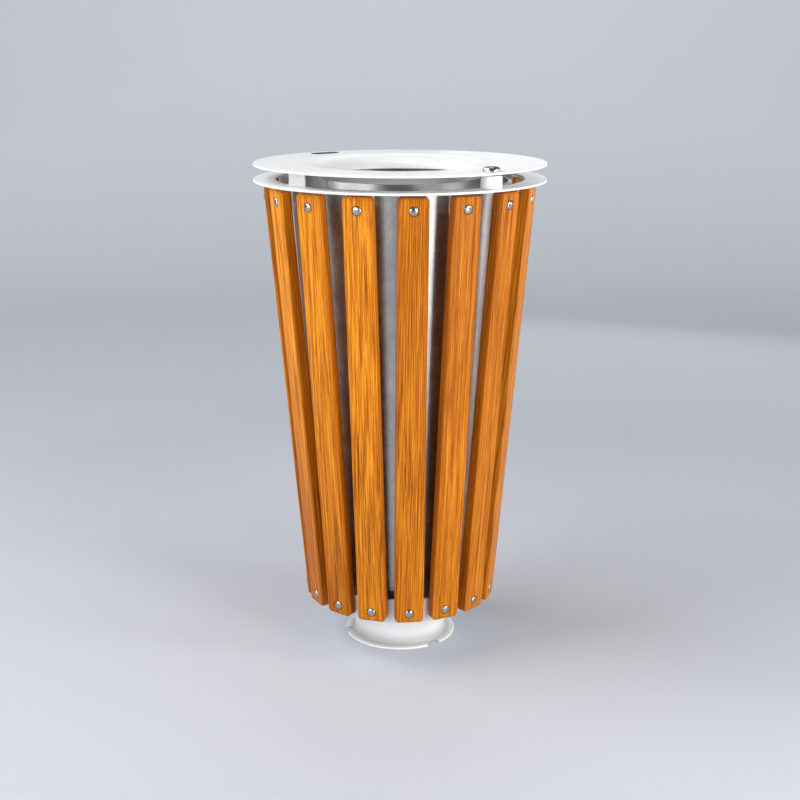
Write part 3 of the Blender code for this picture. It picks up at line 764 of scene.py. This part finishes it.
def hex_nut_mesh():
    """Six-sided nut with chamfered corners, standing on z = 0."""
    sixth = math.pi / 3
    flat = NUT_ACROSS_FLATS / 2
    circle = flat * 0.97
    steps = 72
    bottom, lower, upper, top = [], [], [], []
    for index in range(steps):
        angle = math.tau * index / steps
        reach = flat / math.cos((angle + sixth / 2) % sixth - sixth / 2)
        drop = max(0.0, (reach - flat) * 0.45)
        for ring, radius, z in ((bottom, circle, 0.0), (lower, reach, drop),
                                (upper, reach, NUT_HEIGHT - drop), (top, circle, NUT_HEIGHT)):
            ring.append((radius * math.cos(angle), radius * math.sin(angle), z))
    body = loft("slat_nut", [bottom, lower, upper, top])
    return combined(body, drill_mesh(NUT_BORE_RADIUS, -NUT_HEIGHT, 2 * NUT_HEIGHT, 36), "DIFFERENCE")


def make_slat_screws(steel):
    """Two screws in each board, with a nut behind the ring's tab or the foot's cup."""
    screw = dome_screw_mesh()
    nut = hex_nut_mesh()
    board = SLAT_THICKNESS - COUNTERBORE_DEPTH + GAP
    ends = (("top", TOP_SCREW_Z, board + TAB_THICKNESS), ("bottom", BOTTOM_SCREW_Z, board + SHEET))
    sunk = Matrix.Translation((0, 0, -COUNTERBORE_DEPTH))
    for number, azimuth in enumerate(slat_azimuths(), start=1):
        for end, z, clamped in ends:
            spot = slat_frame(azimuth, z) @ FACE_OUT @ sunk
            spin = Matrix.Rotation(TURN_BETWEEN_SCREWS * number, 4, "Z")
            add_piece(f"{end}_dome_screw_{number:02d}", screw, steel, "frame",
                      [f"{end}_screw_{number:02d}"], spot @ spin)
            inward = Matrix.Translation((0, 0, -clamped - GAP - NUT_HEIGHT))
            add_piece(f"{end}_nut_{number:02d}", nut, steel, "frame",
                      matrix=spot @ inward @ spin)


# --- Steel ring that carries the slats ---
TAB_BEND = 0.0025            # inner radius of a tab's bend
TAB_ROOT = 0.006             # length of tab that runs on into the ring
TAB_SINK = 0.0006            # depth of the root below the ring's face
PLATE_ARRIS = 0.0012         # rounding of a coated plate's edge


def tab_mesh(name, path, thickness, width):
    """Bent strip of plate: path gives its outward face from the ring to the free end."""
    return extruded(name, sheet_section(path, thickness), width, 0.0006)


def make_slat_ring(coat):
    """Flat ring with a tab folded down behind each slat and one folded up for the lid to stop against."""
    plate = rounded_outline([(LID_RADIUS, RING_TOP), (LID_RADIUS, RING_BOTTOM),
                             (RING_INNER_RADIUS, RING_BOTTOM), (RING_INNER_RADIUS, RING_TOP)],
                            PLATE_ARRIS)
    ring = turned("steel_slat_ring", plate, 256)

    face = slat_inner_radius(RING_BOTTOM) - GAP
    root = RING_BOTTOM + TAB_SINK
    down = [(face + TAB_BEND + TAB_ROOT, root), (face + TAB_BEND, root)]
    down += arc((face + TAB_BEND, root - TAB_BEND), TAB_BEND, 90, 180, 6)[1:]
    down.append((face - (RING_BOTTOM - TAB_BOTTOM_Z) * math.tan(SLAT_TILT), TAB_BOTTOM_Z))
    strip = tab_mesh("down_tab", down, -TAB_THICKNESS, TAB_WIDTH)
    parts = [(strip, around(azimuth)) for azimuth in slat_azimuths()]

    stand = RING_INNER_RADIUS + GAP + TAB_THICKNESS
    root = RING_TOP - TAB_SINK
    up = [(stand + TAB_BEND + TAB_ROOT, root), (stand + TAB_BEND, root)]
    up += arc((stand + TAB_BEND, root + TAB_BEND), TAB_BEND, 270, 180, 6)[1:]
    up.append((stand, LID_BOTTOM - GAP))
    rest = tab_mesh("up_tab", up, TAB_THICKNESS, REST_TAB_WIDTH)
    parts.append((rest, around(REST_TAB_AZIMUTH)))

    ring = combined(ring, joined("tabs", parts), "UNION")
    ring.name = "steel_slat_ring"
    add_piece("steel_slat_ring", ring, coat, "frame", ["slat_ring"])


# --- Foot ---
# The bell leaves the neck upright, towards this height, and meets the cup from the handle below.
BELL_NECK_HANDLE_Z = 0.068
BELL_CUP_HANDLE = (0.146, 0.058)
NOTCH_CORNER_RADIUS = 0.005
FLANGE_ARRIS = 0.0007        # rounding of the anchor slots' edges


def notch_outline(grow):
    """Plan of an anchor slot, grown by a margin: rounded inside, with its mouth flared round at the rim."""
    half = NOTCH_WIDTH / 2 + grow
    inner = NOTCH_INNER_RADIUS - grow
    inside = NOTCH_CORNER_RADIUS
    mouth = NOTCH_CORNER_RADIUS - grow
    side = half + mouth
    reach = math.sqrt((FLANGE_RADIUS - mouth) ** 2 - side ** 2)
    outside = FLANGE_RADIUS + 0.02
    lean = math.degrees(math.atan2(side, reach))
    right = arc((inner + inside, half - inside), inside, 180, 90, 7)
    right += arc((reach, side), mouth, -90, lean, 9)
    right.append((outside, side * outside / reach * 1.02))
    left = [(across, -along) for across, along in right[::-1]]
    return left + right


def make_foot(coat):
    """Spun bell: a flange with anchor slots, a short neck and a cup that the slats are screwed to."""
    fillet = SHEET
    cup_edge = [(slat_inner_radius(z) - GAP, z) for z in (CUP_BOTTOM_Z, CUP_TOP_Z)]
    path = [(FLANGE_RADIUS, SHEET)]
    path += arc((NECK_RADIUS + fillet, SHEET + fillet), fillet, 270, 180, 8)
    path += bezier((NECK_RADIUS, NECK_TOP_Z), (NECK_RADIUS, BELL_NECK_HANDLE_Z), BELL_CUP_HANDLE,
                   cup_edge[0], 24)
    path.append(cup_edge[1])
    foot = turned("spun_foot", rounded_outline(sheet_section(path, SHEET), 0.0013), 240)

    # Levels and margins of the cutting tool, wider at both faces to round the slots' edges.
    levels = ((-0.002, 0.0008), (0.0, 0.0006), (FLANGE_ARRIS, 0.0), (SHEET - FLANGE_ARRIS, 0.0),
              (SHEET, 0.0006), (SHEET + 0.004, 0.0026))
    sections = [[(across, along, z) for across, along in notch_outline(grow)] for z, grow in levels]
    notch = loft("notch", sections)
    turns = [around(math.tau * index / NOTCH_COUNT) for index in range(NOTCH_COUNT)]
    foot = combined(foot, joined("notches", [(notch, turn) for turn in turns]), "DIFFERENCE")
    foot.name = "spun_foot"
    add_piece("spun_foot", foot, coat, "frame", ["foot", "base_flange"])


def make_platform(zinc):
    """Plate under the bucket, on a skirt that stands inside the foot's neck."""
    skirt = NECK_RADIUS - SHEET - GAP
    top = BUCKET_BOTTOM_Z - GAP
    under = top - PLATFORM_SHEET
    low = PLATFORM_SKIRT_BOTTOM_Z
    outline = [(0.0, top), (PLATFORM_RADIUS, top), (PLATFORM_RADIUS, under), (skirt, under), (skirt, low),
               (skirt - PLATFORM_SHEET, low), (skirt - PLATFORM_SHEET, under), (0.0, under)]
    mesh = turned("bucket_seat", rounded_outline(outline, 0.0008, 3, closed=False))
    add_piece("bucket_seat", mesh, zinc, "frame", ["bucket_platform"])


# --- Lid ---
# The funnel rises from the throat towards the first handle and flattens out from the second.
THROAT_HANDLE = (THROAT_RADIUS + 0.002, 0.884)
FUNNEL_HANDLE = (FUNNEL_RADIUS - 0.022, LID_TOP)
FLAT_RING_RADIUS = 0.2  # one more ring of points on the flat part
SLOT_TOOL_MARGIN = 0.003  # by how much the slot's tool stands out of the plate
PIVOT_DRILL = (0.8, 0.95)  # lowest and highest point of the drill for the bolt's hole


def stadium(half_length, half_width, count=20):
    """Outline of a slot with round ends, long way along Y."""
    straight = half_length - half_width
    points = []
    for centre, start in ((straight, 0), (-straight, 180)):
        points += arc((0.0, centre), half_width, start, start + 180, count)
    return points


def slot_sections(levels):
    """Rings of points in the grip slot's outline, from (height, margin) pairs."""
    sections = []
    for z, margin in levels:
        plan = stadium(GRIP_SLOT_LENGTH / 2 + margin, GRIP_SLOT_WIDTH / 2 + margin)
        sections.append([(x - GRIP_SLOT_RADIUS, y, z) for x, y in plan])
    return sections


def make_grip_liner(nylon):
    """Moulded liner of the grip slot, with a rounded lip that rests on the lid.  Its black is painted shade
    inside the slot.
    """
    seat = LID_TOP + GAP
    top = seat + LINER_LIP_HEIGHT
    arris = 0.0004
    shell = [(LID_BOTTOM, -GAP - arris), (LID_BOTTOM + arris, -GAP), (seat, -GAP),
             (seat, LINER_LIP - arris / 2), (seat + arris / 2, LINER_LIP),
             (top - arris / 2, LINER_LIP - arris / 4), (top, LINER_LIP - arris)]
    inner = -GAP - LINER_WALL
    hole = [(LID_BOTTOM - 5 * arris, inner + 6 * arris), (LID_BOTTOM + arris, inner),
            (top - 3 * arris, inner), (top - arris, inner + arris / 2), (top, inner + 2 * arris),
            (top + 2.5 * arris, inner + 7.5 * arris)]
    liner = combined(loft("liner", slot_sections(shell)), loft("liner_hole", slot_sections(hole)),
                     "DIFFERENCE")
    liner.name = "slot_shade_liner"
    add_piece("slot_shade_liner", liner, nylon, "lid", ["grip_liner"])


def make_lid(coat):
    """Flat ring whose inner part dips in a shallow funnel to an open throat."""
    path = bezier((THROAT_RADIUS, THROAT_BOTTOM_Z), THROAT_HANDLE, FUNNEL_HANDLE,
                  (FUNNEL_RADIUS, LID_TOP), 32)
    path += [(FLAT_RING_RADIUS, LID_TOP), (LID_RADIUS, LID_TOP)]
    lid = turned("lid_ring", rounded_outline(sheet_section(path, -SHEET), PLATE_ARRIS), 256)
    sections = slot_sections([(LID_BOTTOM - SLOT_TOOL_MARGIN, 0.0), (LID_TOP + SLOT_TOOL_MARGIN, 0.0)])
    lid = combined(lid, loft("slot", sections), "DIFFERENCE")
    drill = drill_mesh(PIVOT_HOLE_RADIUS, *PIVOT_DRILL, 48)
    drill.transform(AT_PIVOT)
    lid = combined(lid, drill, "DIFFERENCE")
    lid.name = "lid_ring"
    add_piece("lid_ring", lid, coat, "lid", ["lid"])


# --- Pivot ---
BOLT_TIP_HEIGHT = 0.002      # of the bolt's lower end above the ring


def tube_mesh(name, radius, low, high, edge):
    """Upright tube with the bolt's running fit in its bore."""
    bore = BOLT_RADIUS + GAP
    outline = rounded_outline([(radius, high), (radius, low), (bore, low), (bore, high)], edge)
    return turned(name, outline, 96)


def make_pivot(coat, chrome, nylon):
    """Post on the ring, nylon washer under the lid, and the domed bolt that the lid turns on."""
    washer_top = LID_BOTTOM - GAP
    washer_bottom = washer_top - WASHER_THICKNESS
    post = tube_mesh("post_tube", POST_RADIUS, RING_TOP + GAP, washer_bottom - GAP, PLATE_ARRIS)
    add_piece("post_tube", post, coat, "frame", ["pivot_post"], AT_PIVOT)
    washer = tube_mesh("slip_washer", WASHER_RADIUS, washer_bottom, washer_top, 0.0004)
    add_piece("slip_washer", washer, nylon, "frame", ["pivot_washer"], AT_PIVOT)

    seat = LID_TOP + GAP
    tip = RING_TOP + BOLT_TIP_HEIGHT
    rim = BOLT_HEAD_RADIUS
    height = BOLT_HEAD_HEIGHT
    outline = [(0.0, tip), (BOLT_RADIUS * 0.8, tip), (BOLT_RADIUS, tip + THREAD_CHAMFER),
               (BOLT_RADIUS, seat), (rim * 0.97, seat), (rim, seat + 0.0006), (rim, seat + height * 0.14)]
    outline += bezier((rim, seat + height * 0.16), (rim * 0.93, seat + height * 0.70),
                      (rim * 0.72, seat + height * 0.93), (rim * 0.50, seat + height * 0.985), 14)
    outline += [(rim * 0.30, seat + height), (0.0, seat + height)]
    add_piece("mushroom_bolt", turned("mushroom_bolt", outline, 96), chrome, "frame",
              ["pivot_bolt"], AT_PIVOT)


# --- Bucket ---
SEAM_AZIMUTH = math.radians(184.5)
SEAM_WIDTH = 0.010
SEAM_HEIGHT = 0.0011         # by how much the seam stands off the wall, on both sides
SEAM_FROM_FLOOR = 0.006
SEAM_FROM_TOP = 0.012
KNUCKLE_RADIUS = 0.003       # of the bend between the wall and the floor
WALL_STEPS = 12


def bucket_radius(z):
    """Outer radius of the tapered wall at height z."""
    share = (z - BUCKET_BOTTOM_Z) / (BUCKET_TOP_Z - BUCKET_BOTTOM_Z)
    return BUCKET_BOTTOM_RADIUS + (BUCKET_TOP_RADIUS - BUCKET_BOTTOM_RADIUS) * share


def make_bucket(zinc):
    """Tapered shell with a rounded knuckle round its floor and a rolled bead round its mouth."""
    bead = BUCKET_BEAD
    wall = BUCKET_WALL
    knuckle = KNUCKLE_RADIUS
    bend_radius = BUCKET_BOTTOM_RADIUS - knuckle
    floor_z = BUCKET_BOTTOM_Z + wall
    low = BUCKET_BOTTOM_Z + knuckle
    high = BUCKET_TOP_Z - 2 * bead
    heights = [low + (high - low) * step / WALL_STEPS for step in range(1, WALL_STEPS + 1)]
    outline = [(0.0, BUCKET_BOTTOM_Z), (bend_radius, BUCKET_BOTTOM_Z)]
    outline += arc((bend_radius, low), knuckle, -90, 0, 5)[1:]
    outline += [(bucket_radius(z), z) for z in heights]
    outline += arc((BUCKET_TOP_RADIUS, BUCKET_TOP_Z - bead), bead, -70, 120, 14)
    outline.append((BUCKET_TOP_RADIUS - wall, high))
    outline += [(bucket_radius(z) - wall, z) for z in heights[-2::-1]]
    outline += arc((bend_radius - wall, floor_z + knuckle), knuckle, 0, -90, 5)
    outline.append((0.0, floor_z))
    add_piece("zinc_bucket", turned("zinc_bucket", outline, 256), zinc, "bucket",
              ["bucket"])


def make_bucket_seam(zinc):
    """Lapped seam that runs down the bucket's wall, inside and out."""
    half = SEAM_WIDTH / 2
    inside = -BUCKET_WALL - SEAM_HEIGHT
    section = [(inside, -half), (inside, half), (SEAM_HEIGHT, half), (SEAM_HEIGHT, -half)]
    rings = []
    for z in (BUCKET_BOTTOM_Z + SEAM_FROM_FLOOR, BUCKET_TOP_Z - SEAM_FROM_TOP):
        rings.append([(bucket_radius(z) + x, y, z) for x, y in section])
    mesh = loft("bucket_seam", rings)
    add_piece("bucket_seam", mesh, zinc, "bucket", matrix=around(SEAM_AZIMUTH))


# --- Drop handles ---
EAR_HEIGHT = 0.016
EAR_THICKNESS = 0.006
EAR_HOLE_RADIUS = 0.0041
EAR_CORNER_RADIUS = 0.006
EAR_BITE = 0.0004            # by how much an ear's foot goes into the wall, as its weld
WIRE_FREE_PLAY = 0.001       # between an ear and the wire's leg beside it


def ear_mesh():
    """Ear on the bucket's wall, in the XZ plane, with the hinge's hole at its origin."""
    half = EAR_HEIGHT / 2
    wall_x = math.sqrt((bucket_radius(HANDLE_AXIS_Z) - BUCKET_WALL) ** 2 - (HANDLE_SPAN / 2) ** 2)
    reach = wall_x + EAR_BITE - HANDLE_AXIS_RADIUS
    plan = rounded_outline([(-half, -half), (reach, -half), (reach, half), (-half, half)],
                           EAR_CORNER_RADIUS, 6)
    # The corners at the wall stay square.
    plan = [(x, z) for x, z in plan if x < reach - 0.007] + [(reach, half), (reach, -half)]
    plan.sort(key=lambda point: math.atan2(point[1], point[0] - 0.002))
    ear = extruded("handle_ear", plan, EAR_THICKNESS, 0.0006)
    drill = drill_mesh(EAR_HOLE_RADIUS, -0.01, 0.01, 32)
    drill.transform(Matrix.Rotation(math.pi / 2, 4, "X"))
    return combined(ear, drill, "DIFFERENCE")


def wire_mesh(name, pin, leg):
    """U-shaped wire in the YZ plane whose ends turn outward along the hinge line.

    pin is the wire's reach along the hinge line to each side, and leg is that of its straight legs.
    """
    elbow = 0.005
    corner = 0.012
    route = [(pin, 0.0), (leg + elbow, 0.0)]
    route += arc((leg + elbow, -elbow), elbow, 90, 180, 6)[1:]
    route += arc((leg - corner, corner - HANDLE_DROP), corner, 0, -90, 8)
    route += [(-across, height) for across, height in reversed(route)]
    curve = bpy.data.curves.new(name, "CURVE")
    curve.dimensions = "3D"
    curve.bevel_depth = HANDLE_WIRE_RADIUS
    curve.bevel_resolution = 6
    curve.use_fill_caps = True
    spline = curve.splines.new("POLY")
    spline.points.add(len(route) - 1)
    for point, (across, height) in zip(spline.points, route):
        point.co = (0.0, across, height, 1.0)
    holder = bpy.data.objects.new("wire", curve)
    bpy.context.scene.collection.objects.link(holder)
    bpy.context.view_layer.update()
    mesh = bpy.data.meshes.new_from_object(holder.evaluated_get(bpy.context.evaluated_depsgraph_get()))
    bpy.data.objects.remove(holder, do_unlink=True)
    smooth(mesh)
    mesh.name = name
    return mesh


def make_handles(zinc):
    """Two wire handles, each hanging between two ears inside the bucket's mouth."""
    pin = HANDLE_SPAN / 2 + EAR_THICKNESS / 2
    leg = HANDLE_SPAN / 2 - EAR_THICKNESS / 2 - HANDLE_WIRE_RADIUS - WIRE_FREE_PLAY
    ear = ear_mesh()
    for letter, azimuth in (("a", math.pi / 2), ("b", -math.pi / 2)):
        hinge = around(azimuth) @ Matrix.Translation((HANDLE_AXIS_RADIUS, 0, HANDLE_AXIS_Z))
        for side, sign in (("left", 1), ("right", -1)):
            add_piece(f"handle_{letter}_{side}_ear", ear, zinc, "bucket",
                      matrix=hinge @ Matrix.Translation((0, sign * HANDLE_SPAN / 2, 0)))
        wire = wire_mesh(f"drop_handle_{letter}", pin, leg)
        add_piece(f"drop_handle_{letter}", wire, zinc, f"handle_{letter}",
                  [f"handle_{letter}"], hinge)


# --- Floor ---
def make_floor():
    """Paper sweep: level under the bin, curving up behind it."""
    front = -6.0
    level_end = 3.4
    bend = 1.6
    height = 4.5
    half_width = 7.0
    profile = [(front, 0.0)] + arc((level_end, bend), bend, -90, 0, 24) + [(level_end + bend, height)]
    bm = bmesh.new()
    rows = [[bm.verts.new((x, side * half_width, z)) for x, z in profile] for side in (-1, 1)]
    for index in range(len(profile) - 1):
        bm.faces.new((rows[0][index], rows[0][index + 1], rows[1][index + 1], rows[1][index]))
    mesh = to_mesh("floor", bm)
    mesh.materials.append(pale_floor())
    floor = bpy.data.objects.new("floor", mesh)
    floor.location = (0, 0, -GAP)
    floor.rotation_euler = (0, 0, CAMERA_AZIMUTH + math.pi)
    bpy.context.scene.collection.objects.link(floor)


def main():
    """Camera, light and floor first, then the pieces from the ground up."""
    make_camera()
    make_studio()
    make_floor()
    coat = powder_coat()
    wood = varnished_oak()
    zinc = galvanised_steel()
    steel = bright_metal("stainless_steel", (0.46, 0.45, 0.44), 0.16, 0.28, scratch=2e-6)
    chrome = bright_metal("polished_chrome", (0.62, 0.62, 0.63), 0.13, 0.20, scratch=4e-7)
    nylon = black_nylon()
    make_foot(coat)
    make_platform(zinc)
    make_slat_ring(coat)
    make_slats(wood)
    make_slat_screws(steel)
    make_lid(coat)
    make_grip_liner(nylon)
    make_pivot(coat, chrome, nylon)
    make_bucket(zinc)
    make_bucket_seam(zinc)
    make_handles(zinc)


main()
